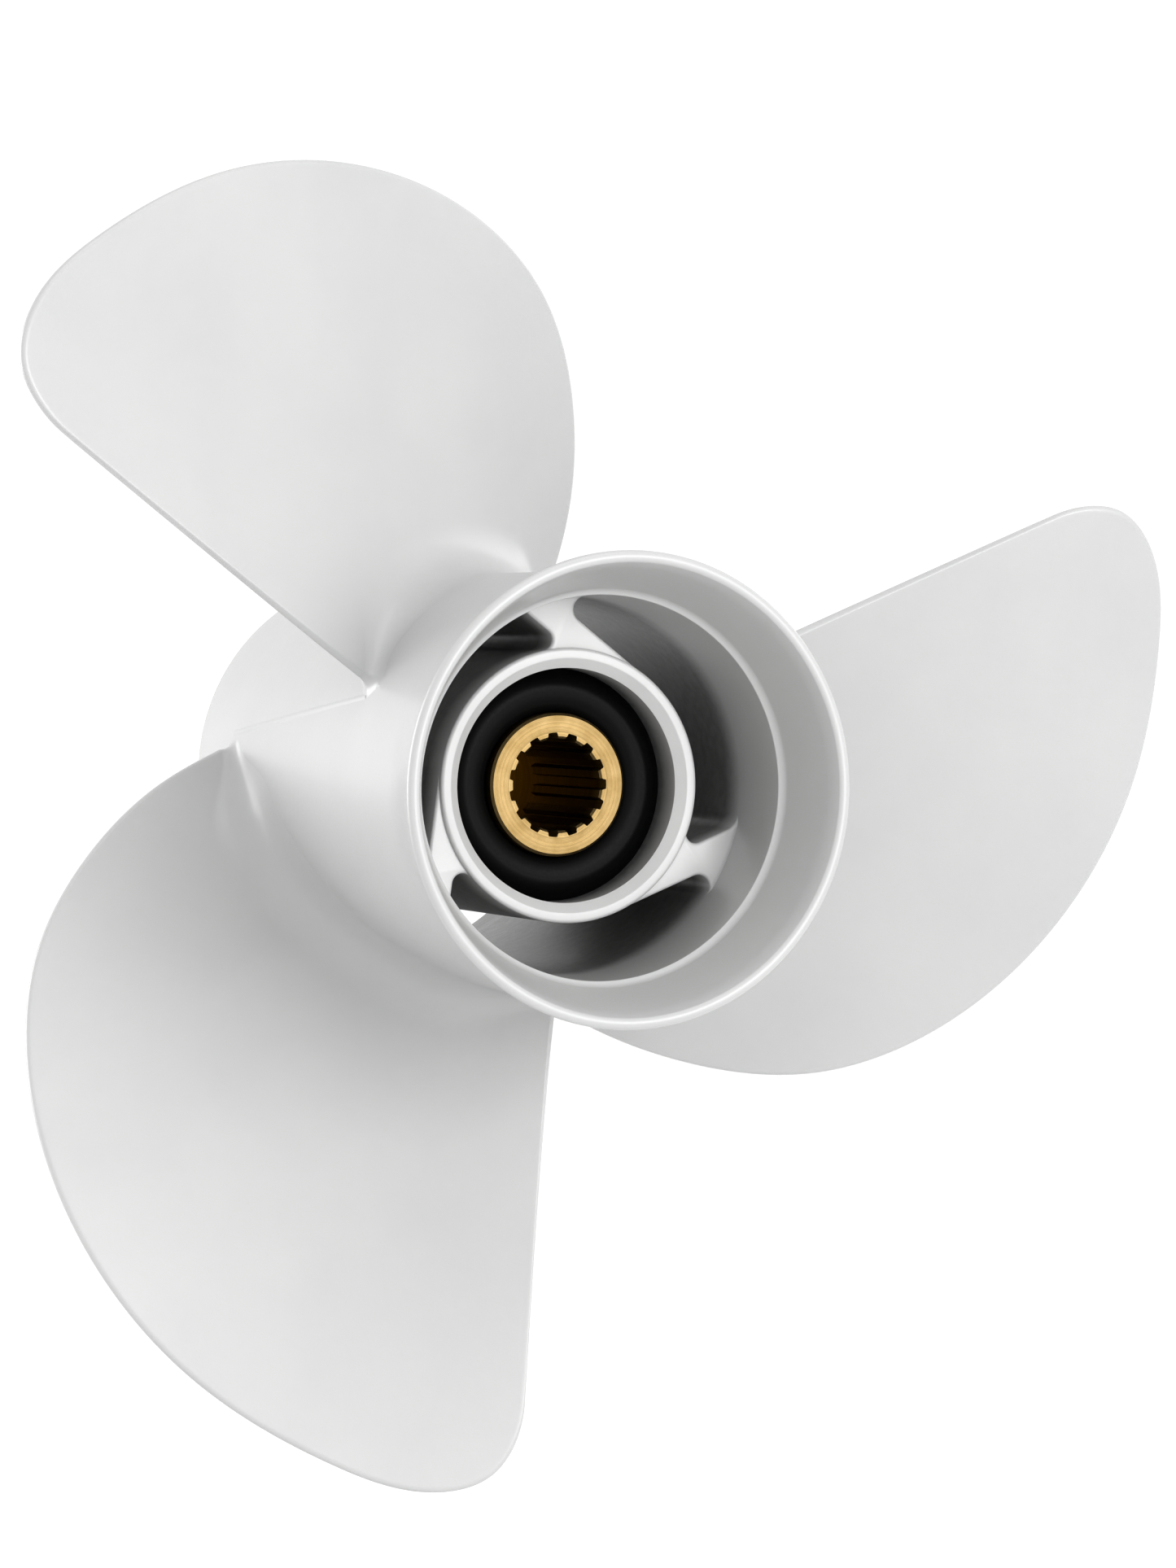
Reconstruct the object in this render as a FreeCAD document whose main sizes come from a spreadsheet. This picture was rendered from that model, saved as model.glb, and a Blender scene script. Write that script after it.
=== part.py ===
import FreeCAD, Part
import Sketcher
import math
import os

# Three-blade, right-hand, through-hub-exhaust boat propeller, in millimetres and degrees.
#
# Frame: the shaft axis is the Y axis. +Y is forward, towards the boat, and -Y is aft.
# +Z is up. The origin is on the axis, at the forward (thrust) end of the splined sleeve.
# Angles about the shaft are counted from +X towards +Z.
#
# The light-alloy casting is one piece on the bench. It is drawn as its natural parts, which
# meet face to face: the barrel, the inner hub, three ribs and three blades. A rubber bush
# fills the inner hub, and a splined sleeve fills the bush.

doc = FreeCAD.newDocument("propeller")


# ---------------------------------------------------------------- driving dimensions

DIMENSIONS = [
    # the whole propeller
    ("blade_count", 3),
    ("tip_radius", 168.3),
    # barrel: the outer tube, with a flared ring at its aft end
    ("barrel_radius", 50),
    ("barrel_front", 19.8),
    ("passage_radius", 44.4),
    ("skirt_radius", 46.4),
    ("skirt_depth", 14),
    ("front_round", 1),
    ("throat_plane", -126),
    ("throat_chamfer", 1.7),
    ("flare_start", -119),
    ("flare_angle", 22.2),
    ("flare_length", 19),
    ("flare_edge", 3),
    ("flare_bead", 1.52),
    # inner hub: the tube that holds the bush
    ("hub_outer_radius", 32.2),
    ("hub_bore_radius", 27.5),
    ("hub_aft", -106.2),
    ("hub_front", -4),
    ("hub_lip_radius", 25.2),
    ("hub_lip_width", 3),
    ("hub_chamfer", 2),
    ("hub_round", 0.8),
    # ribs: spokes that leave the inner hub along a tangent
    ("rib_angle", 51.9),
    ("rib_width", 6.8),
    ("rib_recess", 1.2),
    ("rib_front", -8),
    ("rib_round_hub", 2.5),
    ("rib_round_front", 3),
    ("rib_round_back", 5),
    # rubber bush
    ("bush_clearance", 0.05),
    ("bush_aft", -97.4),
    ("bush_front", -7.5),
    ("bush_crown", 3.2),
    ("bush_crown_radius", 22.6),
    # splined sleeve
    ("sleeve_radius", 16.87),
    ("sleeve_length", 98.6),
    ("sleeve_chamfer", 0.6),
    ("spline_length", 43),
    ("spline_count", 15),
    ("spline_land_radius", 10.9),
    ("spline_root_radius", 12.3),
    ("spline_mouth_half", 1.35),
    ("spline_root_half", 1.0),
    ("relief_radius", 13.5),
    # blades
    ("blade_angle", 143.4),
    ("blade_plane", -86.4),
    ("blade_rake", 15.6),
    ("rake_start", 54),
    ("pitch_root", 314.3),
    ("pitch_tip", 283.8),
    ("edge_thickness", 2.4),
    ("root_thickness", 7.5),
    ("fillet_aft", 10),
    ("fillet_front", 7),
    ("fillet_reach", 16),
    ("fillet_edge_fade", 0.65),
    ("trailing_offset", 7.4),
    ("chord_middle_root", 41),
    ("chord_middle_tip", 13),
    ("chord_half_root", 48),
    ("chord_half_tip", 15),
]

sheet = doc.addObject("Spreadsheet::Sheet", "dim")
for row, (alias, number) in enumerate(DIMENSIONS, start=1):
    sheet.set("A%d" % row, alias)
    sheet.set("B%d" % row, str(number))
    sheet.setAlias("B%d" % row, alias)
doc.recompute()


def value(expression):
    """The number that a spreadsheet expression gives."""
    result = sheet.evalExpression(expression)
    return float(getattr(result, "Value", result))


# ---------------------------------------------------------------- sketch helpers

SKETCH_ORIGIN = -1
START, END = 1, 2


def new_body(label):
    body = doc.addObject("PartDesign::Body", label)
    body.Label = label
    return body


def new_sketch(body, name, plane):
    """An empty sketch on one of the body's own origin planes."""
    support = [item for item in body.Origin.OriginFeatures if item.Role == plane][0]
    sketch = body.newObject("Sketcher::SketchObject", name)
    sketch.AttachmentSupport = [(support, "")]
    sketch.MapMode = "FlatFace"
    return sketch


def bind(sketch, index, label, expression):
    sketch.renameConstraint(index, label)
    sketch.setExpression("Constraints." + label, expression)


def arc_between(start, end, radius):
    """The shorter arc between two points of a walk. A positive radius bulges to the right
    of the walk, as the outside of a left turn does, and a negative one to the left."""
    chord = end - start
    half = chord.Length / 2
    rise = abs(radius) - math.sqrt(max(radius * radius - half * half, 0.0))
    across = FreeCAD.Vector(chord.y, -chord.x, 0).normalize()
    middle = (start + end) * 0.5 + across * math.copysign(rise, radius)
    return Part.Arc(start, middle, end) if radius > 0 else Part.Arc(end, middle, start)


def draw_outline(sketch, corners):
    """A closed outline with every corner bound to the sheet. A corner is (x, y) in
    expressions, with a third one, a signed radius, when an arc leaves it."""
    points = [FreeCAD.Vector(value(corner[0]), value(corner[1]), 0) for corner in corners]
    count = len(points)
    ends = []
    for index, corner in enumerate(corners):
        start, end = points[index], points[(index + 1) % count]
        if len(corner) == 2:
            edge = Part.LineSegment(start, end)
        else:
            edge = arc_between(start, end, value(corner[2]))
        sketch.addGeometry(edge, False)
        kept = sketch.Geometry[index].StartPoint
        ends.append((START, END) if kept.distanceToPoint(start) < 1e-6 else (END, START))
    for index in range(count):
        following = (index + 1) % count
        sketch.addConstraint(Sketcher.Constraint(
            "Coincident", index, ends[index][1], following, ends[following][0]))
    for index, corner in enumerate(corners):
        for kind, expression in (("DistanceX", corner[0]), ("DistanceY", corner[1])):
            added = sketch.addConstraint(Sketcher.Constraint(
                kind, SKETCH_ORIGIN, START, index, ends[index][0], value(expression)))
            bind(sketch, added, "%s_%d" % (kind, index), expression)
        if len(corner) == 3:
            size = corner[2].lstrip("-")
            added = sketch.addConstraint(Sketcher.Constraint("Radius", index, value(size)))
            bind(sketch, added, "Radius_%d" % index, size)


def add_turning(body, kind, name, corners):
    """Revolve (or groove) an outline in (radius, distance along the shaft) about the shaft."""
    sketch = new_sketch(body, name + "_outline", "XY_Plane")
    draw_outline(sketch, corners)
    feature = body.newObject(kind, name)
    feature.Profile = sketch
    feature.ReferenceAxis = (sketch, ["V_Axis"])
    feature.Angle = 360
    body.Tip = feature
    doc.recompute()
    return feature


def require_cut(body, feature, volume_before):
    """Stop if a pocket or groove pointed away from the solid and cut nothing."""
    if not feature.Shape.Volume < volume_before - 1:
        raise RuntimeError("%s cut nothing from %s" % (feature.Name, body.Label))


# ---------------------------------------------------------------- barrel

SIN_FLARE = "sin(dim.flare_angle)"
COS_FLARE = "cos(dim.flare_angle)"
FLARE_END = ("dim.passage_radius + dim.flare_length * " + SIN_FLARE,
             "dim.throat_plane - dim.flare_length * " + COS_FLARE)
RING_EDGE = (FLARE_END[0] + " + dim.flare_edge * " + COS_FLARE,
             FLARE_END[1] + " + dim.flare_edge * " + SIN_FLARE)


def make_barrel():
    """The outer tube: straight outside, a flared ring with a rolled edge at the aft end, a
    chamfered throat inside it, and a wider skirt at the front that goes over the gearcase."""
    rise = "(%s - dim.barrel_radius)" % RING_EDGE[0]
    run = "(%s - dim.flare_start)" % RING_EDGE[1]
    flare_curve = "((%s^2 + %s^2) / (2 * %s))" % (rise, run, rise)
    body = new_body("barrel")
    add_turning(body, "PartDesign::Revolution", "barrel_wall", [
        ("dim.barrel_radius", "dim.flare_start"),
        ("dim.barrel_radius", "dim.barrel_front - dim.front_round", "dim.front_round"),
        ("dim.barrel_radius - dim.front_round", "dim.barrel_front"),
        ("dim.skirt_radius + dim.front_round", "dim.barrel_front", "dim.front_round"),
        ("dim.skirt_radius", "dim.barrel_front - dim.front_round"),
        ("dim.skirt_radius", "dim.barrel_front - dim.skirt_depth"),
        ("dim.passage_radius", "dim.barrel_front - dim.skirt_depth - 2"),
        ("dim.passage_radius", "dim.throat_plane"),
        ("dim.passage_radius + dim.throat_chamfer", "dim.throat_plane - dim.throat_chamfer"),
        FLARE_END + ("dim.flare_bead",),
        RING_EDGE + ("-" + flare_curve,),
    ])
    return body


# ---------------------------------------------------------------- inner hub

def make_inner_hub():
    """The inner tube: its bore holds the bush against a lip at the front."""
    body = new_body("inner_hub")
    add_turning(body, "PartDesign::Revolution", "inner_hub_wall", [
        ("dim.hub_outer_radius", "dim.hub_aft + dim.hub_round"),
        ("dim.hub_outer_radius", "dim.hub_front - dim.hub_round", "dim.hub_round"),
        ("dim.hub_outer_radius - dim.hub_round", "dim.hub_front"),
        ("dim.hub_lip_radius", "dim.hub_front"),
        ("dim.hub_lip_radius", "dim.hub_front - dim.hub_lip_width"),
        ("dim.hub_bore_radius", "dim.hub_front - dim.hub_lip_width"),
        ("dim.hub_bore_radius", "dim.hub_aft + dim.hub_chamfer"),
        ("dim.hub_bore_radius + dim.hub_chamfer", "dim.hub_aft"),
        ("dim.hub_outer_radius - dim.hub_round", "dim.hub_aft", "dim.hub_round"),
    ])
    return body


# ---------------------------------------------------------------- ribs

def fillet_touches(line, circle, radius, line_sign, circle_sign):
    """Where a fillet touches the line x = line and a circle about the shaft. The signs say
    on which side of the line and of the circle the fillet's centre is."""
    centre_x = "(%s %s %s)" % (line, line_sign, radius)
    centre_distance = "(%s %s %s)" % (circle, circle_sign, radius)
    centre_y = "sqrt(%s^2 - %s^2)" % (centre_distance, centre_x)
    share = "%s / %s" % (circle, centre_distance)
    return (line, centre_y), ("%s * %s" % (centre_x, share), "%s * %s" % (centre_y, share))


def make_rib(number):
    """One spoke. Its front side is a tangent of the inner hub, and its back side is
    parallel to that. Fillets lead into the barrel and, at the back, into the hub. The
    section is drawn past both tubes and then trimmed to them."""
    front_line = "dim.hub_outer_radius"
    back_line = "(dim.hub_outer_radius - dim.rib_width)"
    front_foot, front_barrel = fillet_touches(
        front_line, "dim.passage_radius", "dim.rib_round_front", "+", "-")
    back_foot, back_barrel = fillet_touches(
        back_line, "dim.passage_radius", "dim.rib_round_back", "-", "-")
    hub_foot, hub_touch = fillet_touches(
        back_line, "dim.hub_outer_radius", "dim.rib_round_hub", "-", "+")

    body = new_body("rib_%d" % number)
    section = new_sketch(body, "rib_section_%d" % number, "XZ_Plane")
    section.setExpression("AttachmentOffset.Base.z", "-dim.rib_front")
    draw_outline(section, [
        (front_line, "0.25 * dim.hub_outer_radius"),
        front_foot + ("-dim.rib_round_front",),
        front_barrel,
        (front_barrel[0] + " * 1.1", front_barrel[1] + " * 1.1"),
        (back_barrel[0] + " * 1.1", back_barrel[1] + " * 1.1"),
        back_barrel + ("-dim.rib_round_back",),
        back_foot,
        hub_foot + ("-dim.rib_round_hub",),
        hub_touch,
        (hub_touch[0] + " * 0.9", hub_touch[1] + " * 0.9"),
    ])
    pad = body.newObject("PartDesign::Pad", "rib_pad_%d" % number)
    pad.Profile = section
    pad.setExpression("Length", "dim.rib_front - dim.hub_aft - dim.rib_recess")
    body.Tip = pad
    doc.recompute()

    volume = pad.Shape.Volume
    hub_side = add_turning(body, "PartDesign::Groove", "rib_hub_side_%d" % number, [
        ("0", "dim.hub_aft"),
        ("dim.hub_outer_radius", "dim.hub_aft"),
        ("dim.hub_outer_radius", "dim.hub_front"),
        ("0", "dim.hub_front"),
    ])
    require_cut(body, hub_side, volume)
    volume = hub_side.Shape.Volume
    barrel_side = add_turning(body, "PartDesign::Groove", "rib_barrel_side_%d" % number, [
        ("dim.passage_radius", "dim.hub_aft"),
        ("dim.tip_radius", "dim.hub_aft"),
        ("dim.tip_radius", "dim.hub_front"),
        ("dim.passage_radius", "dim.hub_front"),
    ])
    require_cut(body, barrel_side, volume)
    place_about_shaft(body, "dim.rib_angle", number)
    return body


def place_about_shaft(item, first_angle, number):
    """Turn a part that is drawn along +X to its own place about the shaft."""
    angle = value(first_angle) - (number - 1) * 360 / value("dim.blade_count")
    turn = FreeCAD.Rotation(FreeCAD.Vector(0, -1, 0), angle)
    item.Placement = FreeCAD.Placement(FreeCAD.Vector(0, 0, 0), turn)


# ---------------------------------------------------------------- rubber bush

def make_bush():
    """The thick rubber ring between the inner hub and the sleeve, crowned at both ends."""
    outside = "(dim.hub_bore_radius - dim.bush_clearance)"
    inside = "(dim.sleeve_radius + dim.bush_clearance)"
    crown = "dim.bush_crown_radius"
    outer_curve = "((%s - %s)^2 + dim.bush_crown^2) / (2 * dim.bush_crown)" % (outside, crown)
    inner_curve = "((%s - %s)^2 + dim.bush_crown^2) / (2 * dim.bush_crown)" % (crown, inside)
    body = new_body("rubber_bush")
    add_turning(body, "PartDesign::Revolution", "bush_ring", [
        (outside, "dim.bush_aft + dim.bush_crown"),
        (outside, "dim.bush_front - dim.bush_crown", outer_curve),
        (crown, "dim.bush_front", inner_curve),
        (inside, "dim.bush_front - dim.bush_crown"),
        (inside, "dim.bush_aft + dim.bush_crown", inner_curve),
        (crown, "dim.bush_aft", outer_curve),
    ])
    return body


# ---------------------------------------------------------------- splined sleeve

def make_sleeve():
    """The metal sleeve that slides on the shaft: a splined bore at the aft end, and a
    plain relief bore ahead of it."""
    body = new_body("spline_sleeve")
    turned = add_turning(body, "PartDesign::Revolution", "sleeve_wall", [
        ("dim.sleeve_radius", "dim.sleeve_chamfer - dim.sleeve_length"),
        ("dim.sleeve_radius", "-dim.sleeve_chamfer"),
        ("dim.sleeve_radius - dim.sleeve_chamfer", "0"),
        ("dim.relief_radius", "0"),
        ("dim.relief_radius", "dim.spline_length - dim.sleeve_length + 1.5"),
        ("dim.spline_land_radius", "dim.spline_length - dim.sleeve_length"),
        ("dim.spline_land_radius", "-dim.sleeve_length"),
        ("dim.sleeve_radius - dim.sleeve_chamfer", "-dim.sleeve_length"),
    ])
    volume = turned.Shape.Volume
    section = new_sketch(body, "spline_groove_section", "XZ_Plane")
    section.setExpression("AttachmentOffset.Base.z", "dim.sleeve_length + 1")
    draw_outline(section, [
        ("dim.spline_land_radius - 1", "-dim.spline_mouth_half"),
        ("dim.spline_land_radius", "-dim.spline_mouth_half"),
        ("dim.spline_root_radius", "-dim.spline_root_half"),
        ("dim.spline_root_radius", "dim.spline_root_half"),
        ("dim.spline_land_radius", "dim.spline_mouth_half"),
        ("dim.spline_land_radius - 1", "dim.spline_mouth_half"),
    ])
    groove = body.newObject("PartDesign::Pocket", "spline_groove")
    groove.Profile = section
    groove.setExpression("Length", "dim.spline_length + 2")
    body.Tip = groove
    doc.recompute()
    require_cut(body, groove, volume)

    volume = groove.Shape.Volume
    grooves = body.newObject("PartDesign::PolarPattern", "spline_grooves")
    grooves.Originals = [groove]
    grooves.Axis = (section, ["N_Axis"])
    grooves.Angle = 360
    grooves.setExpression("Occurrences", "dim.spline_count")
    body.Tip = grooves
    doc.recompute()
    require_cut(body, grooves, volume)
    return body


# ---------------------------------------------------------------- blades
#
# A blade is drawn along +X. Span runs outwards along +X. Chord runs clockwise, as seen from
# aft, from the straight trailing edge to the round leading edge, so it is -Z.

OUTLINE = [(145, -7.4), (162.4, -0.9), (167.6, 14), (163.4, 35.2), (146.2, 68.9), (118.5, 94.3),
           (83.2, 107.4), (55.1, 106.1), (29.9, 92.9), (10.2, 72.6), (-3.4, 47.9)]
SURFACE_RADII = [44 + 130 * (step / 14) ** 1.6 for step in range(15)]
SURFACE_ANGLES = list(range(-16, 117, 12))


def blade_prism():
    """The blade's outline as seen along the shaft, drawn out along the shaft."""
    inside = FreeCAD.Vector(0.8 * value("dim.barrel_radius"), 0, value("dim.trailing_offset"))
    rim_points = [FreeCAD.Vector(span, 0, -chord) for span, chord in OUTLINE]
    rim = Part.BSplineCurve()
    outwards = FreeCAD.Vector(1, 0, 0)
    rim.interpolate(Points=rim_points, Tangents=[outwards] * len(rim_points),
                    TangentFlags=[True] + [False] * (len(rim_points) - 1))
    edges = [Part.makeLine(inside, rim_points[0]), rim.toShape(),
             Part.makeLine(rim_points[-1], inside)]
    face = Part.Face(Part.Wire(edges))
    face.translate(FreeCAD.Vector(0, -200, 0))
    return face.extrude(FreeCAD.Vector(0, 400, 0))


def mid_plane(radius, angle):
    """Where the blade's middle lies along the shaft: a screw surface that is raked aft."""
    share = (radius - value("dim.rake_start")) / (value("dim.tip_radius") - value("dim.rake_start"))
    pitch = value("dim.pitch_root") + (value("dim.pitch_tip") - value("dim.pitch_root")) * share
    return value("dim.blade_plane") - value("dim.blade_rake") * share + pitch * angle / 360


def chord_place(radius, angle):
    """0 at mid-chord, and about -1 and +1 at the trailing and leading edges."""
    share = (radius - value("dim.rake_start")) / (value("dim.tip_radius") - value("dim.rake_start"))
    middle = value("dim.chord_middle_root") + (value("dim.chord_middle_tip")
                                               - value("dim.chord_middle_root")) * share
    half = value("dim.chord_half_root") + (value("dim.chord_half_tip")
                                           - value("dim.chord_half_root")) * share
    return max(-1.0, min(1.0, (angle - middle) / half))


def face_place(radius, angle, side):
    """Where the aft face (side -1) or the front face (side +1) lies along the shaft. The
    front face is crowned, and both faces spread into a fillet at the barrel."""
    place = chord_place(radius, angle)
    share = (value("dim.tip_radius") - radius) / (value("dim.tip_radius") - value("dim.barrel_radius"))
    crown = (value("dim.root_thickness") - value("dim.edge_thickness")) * max(0.0, share)
    near_barrel = max(0.0, 1 - (radius - value("dim.barrel_radius")) / value("dim.fillet_reach"))
    fillet = value("dim.fillet_front") if side > 0 else value("dim.fillet_aft")
    depth = value("dim.edge_thickness") / 2
    depth += fillet * near_barrel ** 2 * (1 - value("dim.fillet_edge_fade") * place ** 4)
    if side > 0:
        depth += crown * (1 - place ** 2)
    slope = math.atan2(value("dim.pitch_root"), 2 * math.pi * radius)
    return mid_plane(radius, angle) + side * depth / math.cos(slope)


def face_surface(side):
    """One face of the blade, wider than its outline on every side."""
    grid = []
    for radius in SURFACE_RADII:
        line = []
        for angle in SURFACE_ANGLES:
            turned = math.radians(angle)
            line.append(FreeCAD.Vector(radius * math.cos(turned), face_place(radius, angle, side),
                                       -radius * math.sin(turned)))
        grid.append(line)
    surface = Part.BSplineSurface()
    surface.interpolate(grid)
    return surface


def blade_slab():
    """The solid between the two faces. Ruled strips close its four borders."""
    aft, front = face_surface(-1), face_surface(1)
    first_u, last_u, first_v, last_v = aft.bounds()
    borders = []
    for surface in (aft, front):
        borders.append([surface.vIso(first_v), surface.vIso(last_v),
                        surface.uIso(first_u), surface.uIso(last_u)])
    faces = [aft.toShape(), front.toShape()]
    for one, other in zip(*borders):
        faces.append(Part.makeRuledSurface(one.toShape(), other.toShape()))
    shell = Part.makeShell(faces)
    shell.sewShape()
    slab = Part.makeSolid(Part.Shell(shell.Faces))
    if slab.Volume < 0:
        slab.reverse()
    return slab


def blade_shape():
    """The slab inside the outline, trimmed to the outside of the barrel."""
    barrel_core = Part.makeCylinder(value("dim.barrel_radius"), 400, FreeCAD.Vector(0, -200, 0),
                                    FreeCAD.Vector(0, 1, 0))
    return blade_prism().common(blade_slab()).cut(barrel_core)


def make_blades():
    shape = blade_shape()
    blades = []
    for number in range(1, int(value("dim.blade_count")) + 1):
        blade = doc.addObject("Part::Feature", "blade_%d" % number)
        blade.Label = "blade_%d" % number
        blade.Shape = shape
        place_about_shaft(blade, "dim.blade_angle", number)
        blades.append(blade)
    return blades


# ---------------------------------------------------------------- build, check and write

def build():
    ribs = [make_rib(number) for number in range(1, int(value("dim.blade_count")) + 1)]
    parts = [make_barrel(), make_inner_hub()] + ribs + make_blades()
    parts += [make_bush(), make_sleeve()]
    doc.recompute()
    return parts


def check(parts):
    for item in doc.Objects:
        for state in ("Invalid", "Error"):
            if state in item.State:
                raise RuntimeError("%s is in state %s" % (item.Name, state))
    for part in parts:
        if part.Shape.isNull() or not part.Shape.isValid():
            raise RuntimeError("%s has no valid shape" % part.Label)
        if len(part.Shape.Solids) != 1:
            raise RuntimeError("%s is not one solid" % part.Label)


def write(parts):
    os.makedirs("parts", exist_ok=True)
    for part in parts:
        part.Shape.exportStep("parts/%s.step" % part.Label)
        box = part.Shape.BoundBox
        print("%-14s %9.0f mm3  x %7.1f..%6.1f  y %7.1f..%6.1f  z %7.1f..%6.1f" % (
            part.Label, part.Shape.Volume, box.XMin, box.XMax, box.YMin, box.YMax,
            box.ZMin, box.ZMax))


parts = build()
check(parts)
write(parts)
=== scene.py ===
import math

import bmesh
import bpy
import numpy as np
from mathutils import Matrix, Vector


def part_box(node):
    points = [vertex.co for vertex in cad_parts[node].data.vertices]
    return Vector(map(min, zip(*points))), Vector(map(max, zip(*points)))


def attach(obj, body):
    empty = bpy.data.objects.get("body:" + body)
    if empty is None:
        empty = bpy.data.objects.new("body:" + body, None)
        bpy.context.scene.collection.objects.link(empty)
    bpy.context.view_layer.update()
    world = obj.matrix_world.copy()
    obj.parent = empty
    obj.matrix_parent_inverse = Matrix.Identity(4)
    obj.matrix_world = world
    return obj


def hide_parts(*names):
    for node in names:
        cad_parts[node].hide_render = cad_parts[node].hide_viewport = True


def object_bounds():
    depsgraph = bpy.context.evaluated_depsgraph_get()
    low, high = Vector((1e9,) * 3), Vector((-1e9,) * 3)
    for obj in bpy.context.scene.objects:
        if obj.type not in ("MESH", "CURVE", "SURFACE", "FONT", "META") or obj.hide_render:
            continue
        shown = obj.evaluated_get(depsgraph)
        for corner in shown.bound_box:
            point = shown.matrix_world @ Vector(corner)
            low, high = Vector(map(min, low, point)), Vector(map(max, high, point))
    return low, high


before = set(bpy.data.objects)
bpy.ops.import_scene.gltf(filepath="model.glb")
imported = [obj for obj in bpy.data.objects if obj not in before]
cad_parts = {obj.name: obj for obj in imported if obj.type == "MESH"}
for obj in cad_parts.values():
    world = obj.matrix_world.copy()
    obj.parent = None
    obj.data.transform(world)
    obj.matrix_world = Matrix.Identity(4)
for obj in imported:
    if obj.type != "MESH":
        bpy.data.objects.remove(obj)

CAD_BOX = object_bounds()

# Lengths below are in millimetres, and the mesh builders turn them into metres. The shaft
# axis is Y, aft is -Y and up is +Z. Angles about the shaft run from +X towards +Z.
MM = 0.001
BLADES = 3


# ---------------------------------------------------------------- sizes from the frame

def low(node, axis):
    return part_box(node)[0][axis] / MM


def high(node, axis):
    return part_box(node)[1][axis] / MM


BARREL_FRONT = high("barrel", 1)
HUB_RADIUS = high("inner_hub", 0)
HUB_AFT = low("inner_hub", 1)
HUB_FRONT = high("inner_hub", 1)
RIB_AFT = low("rib_1", 1)
RIB_FRONT = high("rib_1", 1)
BUSH_RADIUS = high("rubber_bush", 0)
BUSH_AFT = low("rubber_bush", 1)
BUSH_FRONT = high("rubber_bush", 1)
SLEEVE_RADIUS = high("spline_sleeve", 0)
SLEEVE_AFT = low("spline_sleeve", 1)
SLEEVE_FRONT = high("spline_sleeve", 1)

# barrel: the outer tube, with a skirt cut into its front and a throat before the flare
BARREL_RADIUS = 50.0
BARREL_CORNER = 1.0
PASSAGE_RADIUS = 44.4
SKIRT_RADIUS = 46.4
SKIRT_DEPTH = 14.0
SKIRT_RAMP = 2
THROAT_PLANE = -126.0
THROAT_LIP = 0.35
THROAT_HOLLOW = 3.0
LIP_START = 0.53
LIP_TURN = 62
HOLLOW_END = 19
FLARE_START = -119.0
FLARE_ANGLE = math.radians(22.2)
FLARE_LENGTH = 19.0
FLARE_EDGE = 3.0
FLARE_BEAD = 1.52

# how far the shapes laid on the barrel sink into it
TUCK = 0.02

# the low ridges that the mould leaves on the barrel
RIDGE_WIDTH = 2.0
RIDGE_HEIGHT = 0.20
RIDGE_SINK = 0.4
RIDGE_PAST_TRAILING = 4.2
RIDGE_BEFORE_LEADING = 3.7

# inner hub
HUB_BORE = 27.5
HUB_LIP = 25.2
HUB_LIP_WIDTH = 3.0
HUB_CHAMFER = 2.0
HUB_CHAMFER_ROUND = 0.5
HUB_EDGE = 0.9

# ribs
RIB_ANGLE = 51.9
RIB_WIDTH = 6.8
RIB_EDGE = 0.8
RIB_FOOT_ROUND = 2.5
RIB_FRONT_ROUND = 3.0
RIB_BACK_ROUND = 5.0
RIB_SINK = 2.5

# bush
CROWN_RADIUS = 22.6
CROWN_HEIGHT = 3.2
CROWN_POWER = 2.4
BUSH_GAP = 0.05

# sleeve
SPLINE_COUNT = 15
SPLINE_LENGTH = 43.0
LAND_RADIUS = 10.9
ROOT_RADIUS = 12.3
GROOVE_HALF = 1.05
FLANK_WIDTH = 0.5
RELIEF_RADIUS = 13.5
RELIEF_RAMP = 1.5
SLEEVE_CHAMFER = 0.6
LAND_CHAMFER = 0.5

# blades: the middle screw surface, whose pitch and rake change evenly from RAKE_START out
# to the tip
BLADE_ANGLE = 143.4
BLADE_PLANE = -86.4
BLADE_RAKE = 15.6
RAKE_START = 54.0
TIP_RADIUS = 168.3
PITCH_ROOT = 314.3
PITCH_TIP = 283.8

# thickness over the middle surface, and the share of the crown that each face takes
EDGE_THICKNESS = 2.3
ROOT_THICKNESS = 7.0
CROWN_FRONT = 0.8
CROWN_AFT = 0.2

# the edge's section: square up to a distance walked along the outline, then fading to
# round, with the power of the round section and what the square one adds to it
SQUARE_EDGE_END = 88
SQUARE_EDGE_FADE = 22
ROUND_POWER = 2.1
SQUARE_POWER = 4.0

# the edge seen along the shaft, from the trailing root to the leading root, and how far the
# tip's cap reaches along it to either side of the outermost point
CAP_BEFORE_TIP = 22.0
CAP_PAST_TIP = 26.0
OUTLINE_ROOT = 47
OUTLINE_CLEARANCE = 0.15
OUTLINE = [(145, -7.4), (162.4, -0.9), (167.6, 14), (163.4, 35.2), (146.2, 68.9), (118.5, 94.3),
           (83.2, 107.4), (55.1, 106.1), (29.9, 92.9), (10.2, 72.6), (-3.4, 47.9)]

# root fillets: their radii, the share of the chord over which they grow, the rise and reach
# of the hem beyond their foot, and how finely a blade is divided
FILLET_EDGE = 4.0
FILLET_AFT = 13.0
FILLET_FRONT = 10.0
FILLET_GROWTH = 0.22
FILLET_HEM = [(-0.03, 0.8), (-0.8, 1.0)]
CHORD_STEPS = 72
SPAN_STEPS = 120
EDGE_STEPS = 12
FILLET_STEPS = 12

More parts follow.
